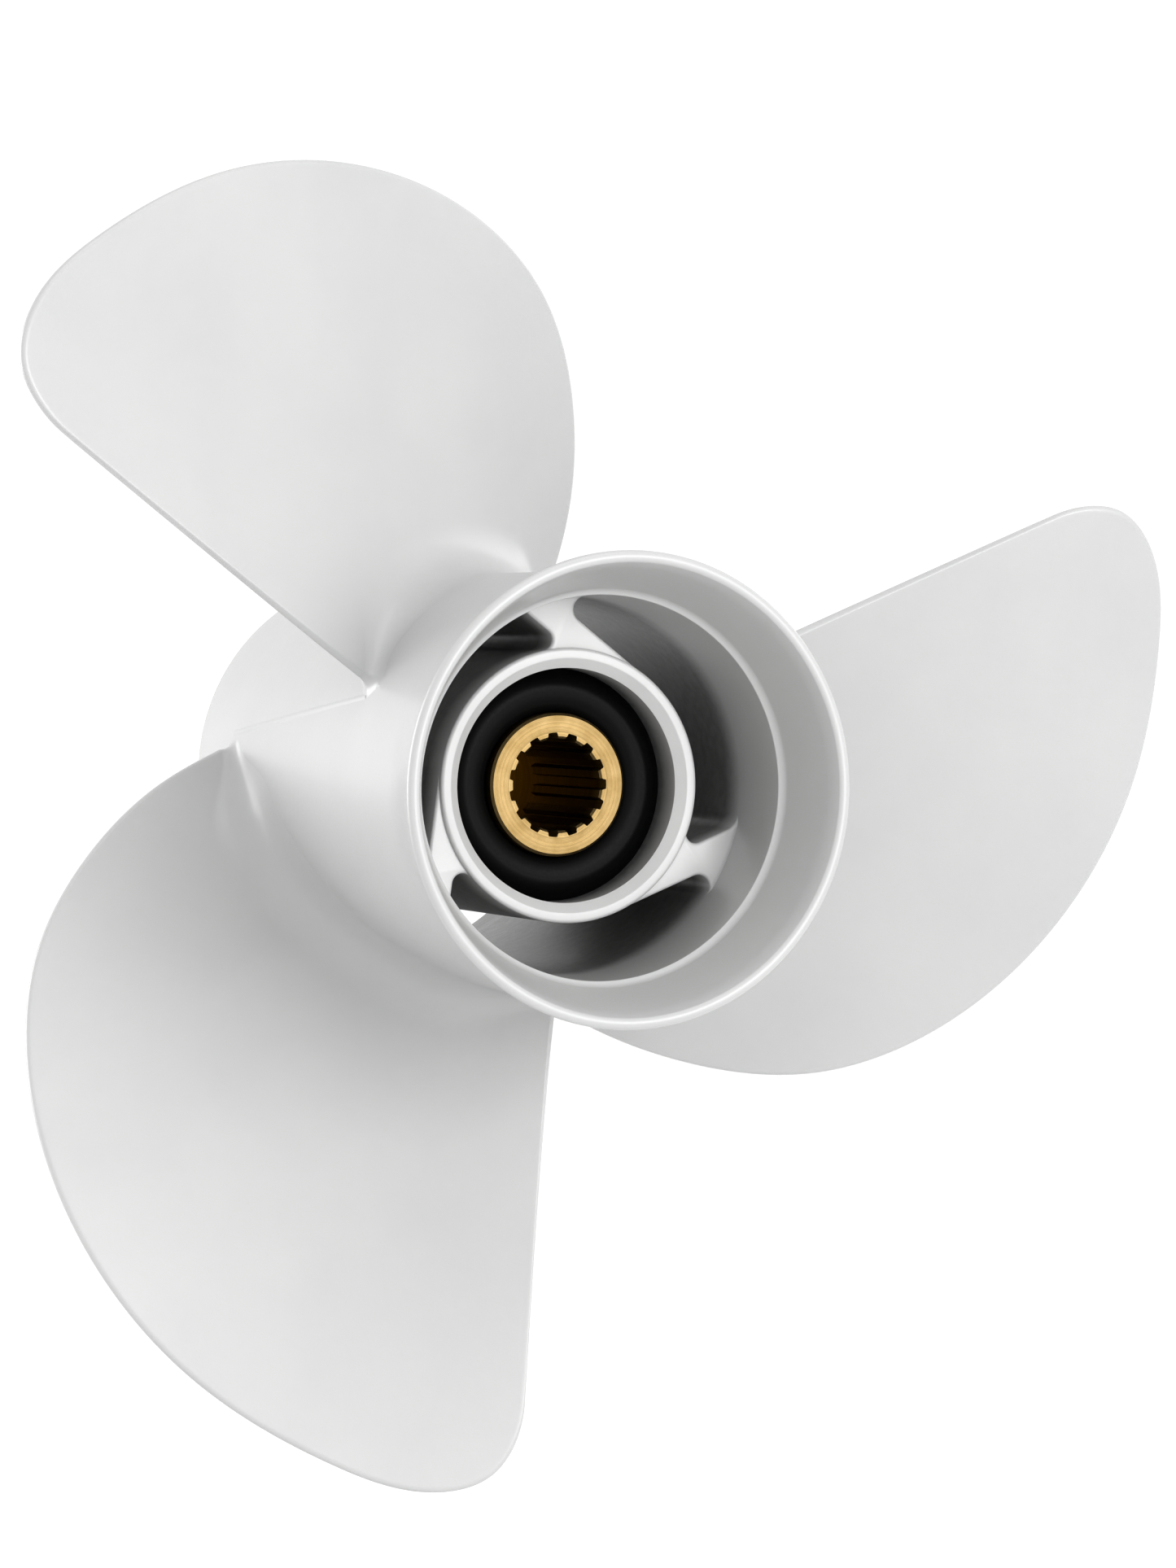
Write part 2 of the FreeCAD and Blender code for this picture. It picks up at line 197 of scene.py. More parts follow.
# studio, in metres, degrees and watts: places are measured from the middle of the part
FLOOR_RADIUS = 3.0
FLOOR_DROP = 0.05
FLOOR_FADE = (0.5, 2.6)
LIGHT_DISTANCE = 1.8
LIGHT_SIZE = 1.0
WORLD_STRENGTH = 1.07
VIEW_GAMMA = 0.85
LIGHTS = [("key", 15, 10, 17), ("side", -130, 10, 16), ("top", 0, 75, 4), ("back", 120, 10, 3)]
VIEW_AZIMUTH = -22.616
VIEW_ELEVATION = 1.759
VIEW_DISTANCE = 1.222
VIEW_LENS = 114.51
VIEW_AIM = Vector((0.00962, 0.00846, 0.0077))


# ---------------------------------------------------------------- mesh builders

def make_object(name, vertices, faces, smooth_angle=None):
    """A mesh object from millimetre vertices, welded, with its faces turned outwards."""
    mesh = bpy.data.meshes.new(name)
    mesh.from_pydata([tuple(v * MM for v in vertex) for vertex in vertices], [], faces)
    work = bmesh.new()
    work.from_mesh(mesh)
    bmesh.ops.remove_doubles(work, verts=work.verts, dist=1e-6)
    bmesh.ops.recalc_face_normals(work, faces=work.faces)
    work.to_mesh(mesh)
    work.free()
    mesh.shade_smooth()
    if smooth_angle is not None:
        mesh.set_sharp_from_angle(angle=math.radians(smooth_angle))
    obj = bpy.data.objects.new(name, mesh)
    bpy.context.scene.collection.objects.link(obj)
    return obj


def ring_faces(rows, columns, close_rows):
    """Quads between consecutive closed rings of the same number of points."""
    faces = []
    last = rows if close_rows else rows - 1
    for row in range(last):
        following = (row + 1) % rows
        for column in range(columns):
            beside = (column + 1) % columns
            faces.append((row * columns + column, row * columns + beside,
                          following * columns + beside, following * columns + column))
    return faces


def arc_points(centre, radius, start, end, count):
    """Points of an arc in the (radius, along-shaft) plane, angles in degrees."""
    points = []
    for step in range(count + 1):
        angle = math.radians(start + (end - start) * step / count)
        points.append((centre[0] + radius * math.cos(angle), centre[1] + radius * math.sin(angle)))
    return points


def subdivide(points, longest):
    """A closed profile with extra points, so that no side is longer than that."""
    fine = []
    for index, point in enumerate(points):
        following = points[(index + 1) % len(points)]
        pieces = max(1, math.ceil(math.dist(point, following) / longest))
        for piece in range(pieces):
            share = piece / pieces
            fine.append((point[0] + (following[0] - point[0]) * share,
                         point[1] + (following[1] - point[1]) * share))
    return fine


def revolved(profile, segments, longest):
    """Vertices and faces of a closed (radius, along-shaft) profile turned about the shaft."""
    profile = subdivide(profile, longest)
    vertices = []
    for radius, along in profile:
        for step in range(segments):
            angle = 2 * math.pi * step / segments
            vertices.append((radius * math.cos(angle), along, radius * math.sin(angle)))
    return vertices, ring_faces(len(profile), segments, True)


def revolve(name, profile, segments=360, longest=6.0, smooth_angle=35):
    return make_object(name, *revolved(profile, segments, longest), smooth_angle)


def turned(point, degrees):
    """A point turned about the shaft, from +X towards +Z."""
    angle = math.radians(degrees)
    x, y, z = point
    return (x * math.cos(angle) - z * math.sin(angle), y,
            x * math.sin(angle) + z * math.cos(angle))


# ---------------------------------------------------------------- barrel and inner hub

def barrel_profile():
    """The wall's section: front edge, skirt, passage, throat, flare, rolled ring edge."""
    front = BARREL_FRONT
    corner = BARREL_CORNER
    sin_f, cos_f = math.sin(FLARE_ANGLE), math.cos(FLARE_ANGLE)
    flare_degrees = math.degrees(FLARE_ANGLE)
    points = []
    points += arc_points((BARREL_RADIUS - corner, front - corner), corner, 0, 90, 8)
    points += arc_points((SKIRT_RADIUS + corner, front - corner), corner, 90, 180, 8)
    points += [(SKIRT_RADIUS, front - SKIRT_DEPTH),
               (PASSAGE_RADIUS, front - SKIRT_DEPTH - SKIRT_RAMP)]
    lip_centre = (PASSAGE_RADIUS + THROAT_LIP, THROAT_PLANE + LIP_START)
    points += arc_points(lip_centre, THROAT_LIP, 180, 180 + LIP_TURN, 8)
    reach, lip_turn = THROAT_LIP + THROAT_HOLLOW, math.radians(LIP_TURN)
    hollow_centre = (lip_centre[0] - reach * math.cos(lip_turn),
                     lip_centre[1] - reach * math.sin(lip_turn))
    points += arc_points(hollow_centre, THROAT_HOLLOW, LIP_TURN, HOLLOW_END, 14)
    inner_end = (PASSAGE_RADIUS + FLARE_LENGTH * sin_f, THROAT_PLANE - FLARE_LENGTH * cos_f)
    outer_end = (inner_end[0] + FLARE_EDGE * cos_f, inner_end[1] + FLARE_EDGE * sin_f)
    middle = ((inner_end[0] + outer_end[0]) / 2, (inner_end[1] + outer_end[1]) / 2)
    back_off = math.sqrt(FLARE_BEAD ** 2 - (FLARE_EDGE / 2) ** 2)
    centre = (middle[0] - back_off * sin_f, middle[1] + back_off * cos_f)
    half = math.degrees(math.asin(FLARE_EDGE / 2 / FLARE_BEAD))
    facing = 270 + flare_degrees
    points += arc_points(centre, FLARE_BEAD, facing - half, facing + half, 20)
    rise, run = outer_end[0] - BARREL_RADIUS, FLARE_START - outer_end[1]
    curve = (rise ** 2 + run ** 2) / (2 * rise)
    sweep = math.degrees(math.asin(run / curve))
    points += arc_points((BARREL_RADIUS + curve, FLARE_START), curve, 180 + sweep, 180, 24)[1:]
    return points


def blade_root(leading):
    """Where a blade's edge meets the barrel: its angle and its place along the shaft."""
    outline = Outline()
    walked = outline.walked_at_radius(BARREL_RADIUS, leading)
    angle = polar(outline.at(walked, EDGE_THICKNESS / 2))[1]
    return float(angle), float(mid_surface(BARREL_RADIUS, angle)[0][1])


def parting_ridge(number):
    """Vertices and faces of the low ridge that the mould leaves on the barrel, from one
    blade's trailing root to the next blade's leading root."""
    steps, across = 30, 12
    start_angle, start_along = blade_root(False)
    end_angle, end_along = blade_root(True)
    start_angle -= RIDGE_PAST_TRAILING / BARREL_RADIUS
    end_angle += RIDGE_BEFORE_LEADING / BARREL_RADIUS - 2 * math.pi / BLADES
    around = (end_angle - start_angle) * BARREL_RADIUS
    ahead = end_along - start_along
    length = math.hypot(around, ahead)
    section = [(RIDGE_WIDTH / 2, -RIDGE_SINK), (-RIDGE_WIDTH / 2, -RIDGE_SINK)]
    for step in range(across + 1):
        share = step / across
        rise = RIDGE_HEIGHT * math.sin(math.pi * share) ** 2
        section.append((RIDGE_WIDTH * (share - 0.5), rise - TUCK))
    vertices = []
    for step in range(steps + 1):
        share = step / steps
        for offset, rise in section:
            radius = BARREL_RADIUS + rise
            angle = start_angle + (around * share + offset * ahead / length) / BARREL_RADIUS
            along = start_along + ahead * share - offset * around / length
            place = (radius * math.cos(angle), along, -radius * math.sin(angle))
            vertices.append(turned(place, BLADE_ANGLE - (number - 1) * 360 / BLADES))
    count = len(section)
    faces = ring_faces(steps + 1, count, False)
    faces.append(tuple(range(count)))
    faces.append(tuple(range(steps * count, (steps + 1) * count)))
    return vertices, faces


def make_barrel():
    """The barrel's wall with the mould ridges laid on it, as one mesh."""
    vertices, faces = revolved(barrel_profile(), 480, 5.0)
    for number in range(1, BLADES + 1):
        ridge_vertices, ridge_faces = parting_ridge(number)
        faces += [tuple(len(vertices) + index for index in face) for face in ridge_faces]
        vertices += ridge_vertices
    return make_object("casting_barrel", vertices, faces, 50)


def make_inner_hub():
    """The tube for the bush, with a lip at its front and a chamfered rim at its aft end."""
    edge, soft = HUB_EDGE, HUB_CHAMFER_ROUND
    points = arc_points((HUB_RADIUS - edge, HUB_FRONT - edge), edge, 0, 90, 6)
    points += [(HUB_LIP, HUB_FRONT), (HUB_LIP, HUB_FRONT - HUB_LIP_WIDTH)]
    points += [(HUB_BORE, HUB_FRONT - HUB_LIP_WIDTH), (HUB_BORE, HUB_AFT + HUB_CHAMFER)]
    points += arc_points((HUB_BORE + HUB_CHAMFER + soft, HUB_AFT + soft), soft, 225, 270, 4)
    points += arc_points((HUB_RADIUS - edge, HUB_AFT + edge), edge, 270, 360, 8)
    return revolve("casting_inner_hub", points, 360, 5.0, 40)


# ---------------------------------------------------------------- ribs

def rib_section():
    """The rib's closed section, as (distance along its front normal, distance along its
    run). Its ends are sunk into the walls of the hub and the barrel."""
    hub_round, front_round, back_round = RIB_FOOT_ROUND, RIB_FRONT_ROUND, RIB_BACK_ROUND
    back_line = HUB_RADIUS - RIB_WIDTH

    front_x = HUB_RADIUS + front_round
    front_y = math.sqrt((PASSAGE_RADIUS - front_round) ** 2 - front_x ** 2)
    front_end = math.degrees(math.atan2(front_y, front_x))
    back_x = back_line - back_round
    back_y = math.sqrt((PASSAGE_RADIUS - back_round) ** 2 - back_x ** 2)
    back_end = math.degrees(math.atan2(back_y, back_x))
    foot_x = back_line - hub_round
    foot_y = math.sqrt((HUB_RADIUS + hub_round) ** 2 - foot_x ** 2)
    foot_end = math.degrees(math.atan2(foot_y, foot_x))

    points = [(HUB_RADIUS, front_y * step / 12) for step in range(12)]
    points += arc_points((front_x, front_y), front_round, 180, front_end, 14)
    points += arc_points((0, 0), PASSAGE_RADIUS + RIB_SINK, front_end, back_end, 12)
    points += arc_points((back_x, back_y), back_round, back_end, 0, 14)
    points += arc_points((foot_x, foot_y), hub_round, 0, foot_end - 180, 12)
    points += arc_points((0, 0), HUB_RADIUS - RIB_SINK, foot_end, 0, 12)
    return points


def inset_loop(points, distance):
    """A closed counter-clockwise loop moved inwards along its corner normals."""
    loop = np.array(points, float)
    ahead = np.roll(loop, -1, axis=0) - loop
    behind = loop - np.roll(loop, 1, axis=0)
    ahead /= np.linalg.norm(ahead, axis=1)[:, None]
    behind /= np.linalg.norm(behind, axis=1)[:, None]
    along = ahead + behind
    along /= np.linalg.norm(along, axis=1)[:, None]
    inward = np.stack([-along[:, 1], along[:, 0]], axis=1)
    return loop + inward * distance


def make_rib(number):
    """The section drawn along the shaft, with its aft and front edges rounded."""
    edge, steps = RIB_EDGE, 5
    section = rib_section()
    rows = []
    for side, plane in ((-1, RIB_AFT), (1, RIB_FRONT)):
        ends = []
        for step in range(steps + 1):
            angle = math.pi / 2 * step / steps
            inset = edge * (1 - math.cos(angle))
            depth = edge * (1 - math.sin(angle))
            ends.append((inset_loop(section, inset), plane - side * depth))
        rows += ends[::-1] if side < 0 else ends
    vertices, count = [], len(section)
    angle = RIB_ANGLE - (number - 1) * 360 / BLADES
    for loop, along in rows:
        for a, b in loop:
            vertices.append(turned((a, along, b), angle))
    faces = ring_faces(len(rows), count, False)
    faces.append(tuple(range(count)))
    faces.append(tuple(range((len(rows) - 1) * count, len(rows) * count)))
    return make_object("casting_rib_%d" % number, vertices, faces, 50)


# ---------------------------------------------------------------- blades

def spline_through(points, first_direction, per_span=40):
    """A cubic spline through points: it starts along a direction and ends with no bend."""
    points = np.array(points, float)
    steps = np.linalg.norm(np.diff(points, axis=0), axis=1)
    count = len(points)
    system, right = np.zeros((count, count)), np.zeros((count, 2))
    system[0, 0], right[0] = 1, first_direction
    for i in range(1, count - 1):
        system[i, i - 1] = steps[i]
        system[i, i] = 2 * (steps[i - 1] + steps[i])
        system[i, i + 1] = steps[i - 1]
        right[i] = 3 * (steps[i] / steps[i - 1] * (points[i] - points[i - 1])
                        + steps[i - 1] / steps[i] * (points[i + 1] - points[i]))
    system[-1, -2], system[-1, -1] = 1, 2
    right[-1] = 3 * (points[-1] - points[-2]) / steps[-1]
    slopes = np.linalg.solve(system, right)
    samples = []
    for i in range(count - 1):
        u = np.linspace(0, 1, per_span, endpoint=i == count - 2)[:, None]
        samples.append((2 * u ** 3 - 3 * u ** 2 + 1) * points[i]
                       + (u ** 3 - 2 * u ** 2 + u) * steps[i] * slopes[i]
                       + (3 * u ** 2 - 2 * u ** 3) * points[i + 1]
                       + (u ** 3 - u ** 2) * steps[i] * slopes[i + 1])
    return np.vstack(samples)


class Outline:
    """The blade's edge as seen along the shaft, by distance walked from the trailing root."""

    def __init__(self):
        start = np.column_stack([np.linspace(OUTLINE_ROOT, OUTLINE[0][0], 60)[:-1],
                                 np.full(59, float(OUTLINE[0][1]))])
        self.points = np.vstack([start, spline_through(OUTLINE, (1.0, 0.0))])
        self.walked = np.r_[0, np.cumsum(np.linalg.norm(np.diff(self.points, axis=0), axis=1))]
        ahead = np.gradient(self.points, self.walked, axis=0)
        ahead /= np.linalg.norm(ahead, axis=1)[:, None]
        self.inward = np.column_stack([-ahead[:, 1], ahead[:, 0]])
        self.radius = np.linalg.norm(self.points, axis=1)

    def at(self, walked, inset):
        place = [np.interp(walked, self.walked, self.points[:, k]) for k in (0, 1)]
        normal = [np.interp(walked, self.walked, self.inward[:, k]) for k in (0, 1)]
        depth = inset + OUTLINE_CLEARANCE
        return np.stack([place[0] + normal[0] * depth, place[1] + normal[1] * depth], axis=-1)

    def walked_at_radius(self, radius, leading):
        peak = int(self.radius.argmax())
        if leading:
            return float(np.interp(-radius, -self.radius[peak:], self.walked[peak:]))
        return float(np.interp(radius, self.radius[:peak], self.walked[:peak]))


def mid_surface(radius, angle):
    """Points of the blade's middle screw surface and its unit normals, facing forward."""
    span = TIP_RADIUS - RAKE_START
    share = (radius - RAKE_START) / span
    pitch = PITCH_ROOT + (PITCH_TIP - PITCH_ROOT) * share
    along = BLADE_PLANE - BLADE_RAKE * share + pitch * angle / (2 * math.pi)
    cos_a, sin_a = np.cos(angle), np.sin(angle)
    place = np.stack([radius * cos_a, along, -radius * sin_a], axis=-1)
    slope_r = (-BLADE_RAKE + (PITCH_TIP - PITCH_ROOT) * angle / (2 * math.pi)) / span
    outwards = np.stack([cos_a, slope_r, -sin_a], axis=-1)
    around = np.stack([-radius * sin_a, pitch / (2 * math.pi), -radius * cos_a], axis=-1)
    normal = np.cross(outwards, around)
    normal *= np.sign(normal[..., 1:2])
    return place, normal / np.linalg.norm(normal, axis=-1, keepdims=True)


def lifted(radius, angle, height):
    """Points at a signed height over the middle surface, forward when positive."""
    place, normal = mid_surface(radius, angle)
    return place + normal * np.asarray(height)[..., None]


def polar(points):
    return np.linalg.norm(points, axis=-1), np.arctan2(points[..., 1], points[..., 0])


def smooth_step(value):
    value = np.clip(value, 0, 1)
    return value * value * (3 - 2 * value)


def fillet_size(chord, side):
    """The root fillet's radius along the chord: small at the edges, large in between."""
    full = FILLET_AFT if side < 0 else FILLET_FRONT
    rise = smooth_step(chord / FILLET_GROWTH) * smooth_step((1 - chord) / FILLET_GROWTH)
    return FILLET_EDGE + (full - FILLET_EDGE) * rise


def half_thickness(radius, chord, side):
    """How far a face stands off the middle surface: crowned, and thinner towards the tip."""
    share = (TIP_RADIUS - radius) / (TIP_RADIUS - BARREL_RADIUS)
    crown = np.clip((ROOT_THICKNESS - EDGE_THICKNESS) * share, 0, None)
    part = CROWN_FRONT if side > 0 else CROWN_AFT
    return EDGE_THICKNESS / 2 + crown * (1 - (2 * chord - 1) ** 2) * part


def edge_strip(outline, walked):
    """Points round the blade's edge from the aft face to the front face, at each place
    walked: square with small corners on the trailing edge, round elsewhere."""
    walked = np.atleast_1d(np.asarray(walked, float))
    squareness = 1 - smooth_step((walked - SQUARE_EDGE_END) / SQUARE_EDGE_FADE)
    power = 2 / (ROUND_POWER + SQUARE_POWER * squareness)
    round_off = EDGE_THICKNESS / 2
    columns = []
    for step in range(EDGE_STEPS + 1):
        angle = math.pi * step / EDGE_STEPS
        height = -round_off * np.sign(math.cos(angle)) * abs(math.cos(angle)) ** power
        inset = round_off * (1 - math.sin(angle) ** power) if 0 < step < EDGE_STEPS else round_off
        inset = np.broadcast_to(inset, walked.shape)
        radius, angle_about = polar(outline.at(walked, inset))
        columns.append((radius, angle_about, np.broadcast_to(height, walked.shape)))
    return columns


def face_grid(outline, side, rows_walked):
    """Radius and angle of one face's points, rows from the root to the tip."""
    inset = EDGE_THICKNESS / 2
    left = np.stack(polar(outline.at(rows_walked[0], inset)), axis=-1)
    right = np.stack(polar(outline.at(rows_walked[1], inset)), axis=-1)
    chord = np.linspace(0, 1, CHORD_STEPS + 1)
    tip = outline.at(np.linspace(rows_walked[0][-1], rows_walked[1][-1], CHORD_STEPS + 1), inset)
    top = np.stack(polar(tip), axis=-1)
    angle_bottom = left[0, 1] + (right[0, 1] - left[0, 1]) * chord
    bottom = np.stack([BARREL_RADIUS + fillet_size(chord, side), angle_bottom], axis=-1)
    bottom[0], bottom[-1] = left[0], right[0]
    s = chord[None, :, None]
    t = np.linspace(0, 1, SPAN_STEPS + 1)[:, None, None]
    grid = ((1 - s) * left[:, None] + s * right[:, None] + (1 - t) * bottom[None] + t * top[None]
            - ((1 - s) * (1 - t) * left[0] + s * (1 - t) * right[0]
               + (1 - s) * t * left[-1] + s * t * right[-1]))
    return grid[..., 0], grid[..., 1], np.broadcast_to(chord, grid.shape[:2])


def blade_ring(faces, strips, row):
    """One closed ring of radii, angles and heights: the aft face, the leading edge, the
    front face and the trailing edge."""
    trailing, leading = strips
    parts = [[values[row] for values in faces[-1]]]
    parts.append([np.array([column[k][row] for column in leading[1:-1]]) for k in range(3)])
    parts.append([values[row][::-1] for values in faces[1]])
    parts.append([np.array([column[k][row] for column in trailing[1:-1]])[::-1]
                  for k in range(3)])
    return [np.concatenate([part[k] for part in parts]) for k in range(3)]


def root_fillet(first_ring):
    """Rings from inside the barrel's wall up to the blade's first ring. Each point of that
    ring goes down to the barrel along its own arc."""
    base_radius, base_angle, base_height = first_ring
    width = len(base_radius)
    chord = np.linspace(0, 1, CHORD_STEPS + 1)
    size = np.concatenate([fillet_size(chord, -1), np.full(EDGE_STEPS - 1, FILLET_EDGE),
                           fillet_size(chord, 1)[::-1], np.full(EDGE_STEPS - 1, FILLET_EDGE)])
    flat = lifted(base_radius, base_angle, base_height)
    around = np.arctan2(-flat[:, 2], flat[:, 0]) * BARREL_RADIUS
    developed = np.column_stack([around, flat[:, 1]])
    along = np.roll(developed, -1, axis=0) - np.roll(developed, 1, axis=0)
    along /= np.linalg.norm(along, axis=1)[:, None]
    outward = np.column_stack([along[:, 1], -along[:, 0]])
    if np.sum((developed - developed.mean(axis=0)) * outward) < 0:
        outward = -outward
    steps = []
    for step in range(1, FILLET_STEPS + 1):
        turn = math.pi / 2 * (step / FILLET_STEPS)
        steps.append((size * (1 - math.sin(turn)), size * (1 - math.cos(turn))))
    steps += [(np.full(width, rise), size + reach) for rise, reach in FILLET_HEM]
    rings = []
    for rise, reach in steps:
        radius = BARREL_RADIUS + rise - TUCK
        sunk = lifted(radius, base_angle, base_height)
        about = np.arctan2(-sunk[:, 2], sunk[:, 0]) + outward[:, 0] * reach / radius
        rings.append(np.column_stack([radius * np.cos(about), sunk[:, 1] + outward[:, 1] * reach,
                                      -radius * np.sin(about)]))
    return rings[::-1]


def base_faces(width, front_start):
    """Faces that close the first ring, inside the barrel's wall."""
    faces = []
    for i in range(CHORD_STEPS):
        far_side = front_start + CHORD_STEPS - i
        faces.append((i, far_side, far_side - 1, i + 1))
    faces.append(tuple(range(CHORD_STEPS, front_start + 1)))
    faces.append((0,) + tuple(range(width - 1, front_start + CHORD_STEPS - 1, -1)))
    return faces


def tip_cap(outline, tip_walked, last, width, front_start, total):
    """The rounded edge across the tip, joined to the last ring. Returns its own vertices,
    which are counted from total, and its faces."""
    columns = [lifted(*column) for column in edge_strip(outline, tip_walked)]
    index = np.zeros((CHORD_STEPS + 1, EDGE_STEPS + 1), int)
    vertices = []
    for i in range(CHORD_STEPS + 1):
        index[i, 0] = last + i
        index[i, EDGE_STEPS] = last + front_start + CHORD_STEPS - i
        for k in range(1, EDGE_STEPS):
            if i == 0:
                index[i, k] = last + width - k
            elif i == CHORD_STEPS:
                index[i, k] = last + CHORD_STEPS + k
            else:
                index[i, k] = total + len(vertices)
                vertices.append(columns[k][i])
    faces = []
    for i in range(CHORD_STEPS):
        for k in range(EDGE_STEPS):
            corners = (index[i, k], index[i + 1, k], index[i + 1, k + 1], index[i, k + 1])
            faces.append(tuple(int(corner) for corner in corners))
    return vertices, faces


def make_blade(number):
    """One blade with its root fillet. Rings run round both faces and both edges, from the
    barrel out to the tip, where a cap of the same edge shape closes them."""
    outline = Outline()
    root = BARREL_RADIUS + FILLET_EDGE
    peak = outline.walked[int(outline.radius.argmax())]
    trailing = outline.walked_at_radius(root, False)
    leading = outline.walked_at_radius(root, True)
    rows_walked = (np.linspace(trailing, peak - CAP_BEFORE_TIP, SPAN_STEPS + 1),
                   np.linspace(leading, peak + CAP_PAST_TIP, SPAN_STEPS + 1))

    face_points = {}
    for side in (-1, 1):
        radius, angle, chord = face_grid(outline, side, rows_walked)
        face_points[side] = (radius, angle, side * half_thickness(radius, chord, side))
    strips = [edge_strip(outline, walked) for walked in rows_walked]
    rings = [blade_ring(face_points, strips, row) for row in range(SPAN_STEPS + 1)]
    points = root_fillet(rings[0]) + [lifted(*values) for values in rings]

    width = len(rings[0][0])
    front_start = CHORD_STEPS + EDGE_STEPS
    vertices = np.vstack(points)
    faces = ring_faces(len(points), width, False) + base_faces(width, front_start)
    tip_walked = np.linspace(rows_walked[0][-1], rows_walked[1][-1], CHORD_STEPS + 1)
    cap_vertices, cap_faces = tip_cap(outline, tip_walked, (len(points) - 1) * width, width,
                                      front_start, len(vertices))
    vertices = np.vstack([vertices, cap_vertices])
    angle = BLADE_ANGLE - (number - 1) * 360 / BLADES
    placed = [turned(tuple(vertex), angle) for vertex in vertices]
    return make_object("casting_blade_%d" % number, placed, faces + cap_faces, 60)


# ---------------------------------------------------------------- bush and sleeve

def make_bush():
    """The rubber ring: crowned ends, a soft lip at the bore and a groove beside the sleeve."""
    outer, inner = BUSH_RADIUS, SLEEVE_RADIUS + BUSH_GAP
    outer_steps, inner_steps = 12, 14
    points = []
    for step in range(outer_steps + 1):
        share = step / outer_steps
        radius = outer + (CROWN_RADIUS - outer) * share
        points.append((radius, BUSH_AFT + CROWN_HEIGHT * (1 - math.sin(share * math.pi / 2))))
    for step in range(1, inner_steps + 1):
        share = step / inner_steps
        radius = CROWN_RADIUS + (inner - CROWN_RADIUS) * share
        fall = 1 - math.sqrt(1 - share ** CROWN_POWER)
        points.append((radius, BUSH_AFT + CROWN_HEIGHT * fall))
    mirrored = [(radius, BUSH_AFT + BUSH_FRONT - along) for radius, along in reversed(points)]
    return revolve("bush_rubber", points + mirrored, 240, 5.0, 40)


def make_sleeve():
    """The brass sleeve: a splined bore with eased teeth at the aft end, plain further in."""
    segments = SPLINE_COUNT * 32
    chamfer = SLEEVE_CHAMFER
    spline_end = SLEEVE_AFT + SPLINE_LENGTH
    angles = np.linspace(0, 2 * math.pi, segments, endpoint=False)
    tooth = angles * SPLINE_COUNT / (2 * math.pi)
    across = np.abs(tooth - np.round(tooth)) * 2 * math.pi / SPLINE_COUNT * ROOT_RADIUS
    flank = smooth_step((across - GROOVE_HALF) / FLANK_WIDTH)
    splined = ROOT_RADIUS + (LAND_RADIUS - ROOT_RADIUS) * flank

    def level(radius, along):
        return np.broadcast_to(radius, (segments,)), along

    rows = [level(SLEEVE_RADIUS - chamfer, SLEEVE_AFT),
            level(SLEEVE_RADIUS, SLEEVE_AFT + chamfer),
            level(SLEEVE_RADIUS, SLEEVE_FRONT - chamfer),
            level(SLEEVE_RADIUS - chamfer, SLEEVE_FRONT),
            level(RELIEF_RADIUS + chamfer, SLEEVE_FRONT),
            level(RELIEF_RADIUS, SLEEVE_FRONT - chamfer),
            level(RELIEF_RADIUS, spline_end + RELIEF_RAMP),
            level(splined, spline_end),
            level(splined, SLEEVE_AFT + LAND_CHAMFER),
            level(np.maximum(splined, LAND_RADIUS + LAND_CHAMFER), SLEEVE_AFT)]
    vertices = []
    for radii, along in rows:
        vertices += list(zip(radii * np.cos(angles), [along] * segments, radii * np.sin(angles)))
    return make_object("sleeve_brass", vertices, ring_faces(len(rows), segments, True), 32)


# ---------------------------------------------------------------- materials

def new_material(name):
    material = bpy.data.materials.new(name)
    material.use_nodes = True
    return material, material.node_tree.nodes["Principled BSDF"]


def add_node(material, kind, **settings):
    node = material.node_tree.nodes.new(kind)
    for key, setting in settings.items():
        setattr(node, key, setting)
    return node


def link(material, source, target):
    material.node_tree.links.new(source, target)


def noise(material, vector, scale, detail=3.0, roughness=0.5, dimensions="3D"):
    node = add_node(material, "ShaderNodeTexNoise", noise_dimensions=dimensions)
    node.inputs["Scale"].default_value = scale
    node.inputs["Detail"].default_value = detail
    node.inputs["Roughness"].default_value = roughness
    link(material, vector, node.inputs["Vector"])
    return node.outputs["Fac"]


def ramp(material, factor, stops):
    """A colour ramp with (place, colour) stops."""
    node = add_node(material, "ShaderNodeValToRGB")
    elements = node.color_ramp.elements
    while len(elements) < len(stops):
        elements.new(0.5)
    for element, (place, colour) in zip(elements, stops):
        element.position = place
        element.color = (*colour, 1.0)
    link(material, factor, node.inputs["Fac"])
    return node.outputs["Color"]


def spread(material, factor, low_value, high_value, low_in=0.3, high_in=0.7):
    node = add_node(material, "ShaderNodeMapRange")
    for key, number in (("From Min", low_in), ("From Max", high_in),
                        ("To Min", low_value), ("To Max", high_value)):
        node.inputs[key].default_value = number
    link(material, factor, node.inputs["Value"])
    return node.outputs["Result"]


def blend(material, factor, first, second):
    """A mix of two colours. The second one is a socket or a plain colour."""
    node = add_node(material, "ShaderNodeMix", data_type="RGBA", blend_type="MIX")
    link(material, factor, node.inputs["Factor"])
    link(material, first, node.inputs["A"])
    if isinstance(second, tuple):
        node.inputs["B"].default_value = (*second, 1.0)
    else:
        link(material, second, node.inputs["B"])
    return node.outputs["Result"]


def bump(material, height, strength, distance, under=None):
    node = add_node(material, "ShaderNodeBump")
    node.inputs["Strength"].default_value = strength
    node.inputs["Distance"].default_value = distance
    link(material, height, node.inputs["Height"])
    if under is not None:
        link(material, under, node.inputs["Normal"])
    return node.outputs["Normal"]


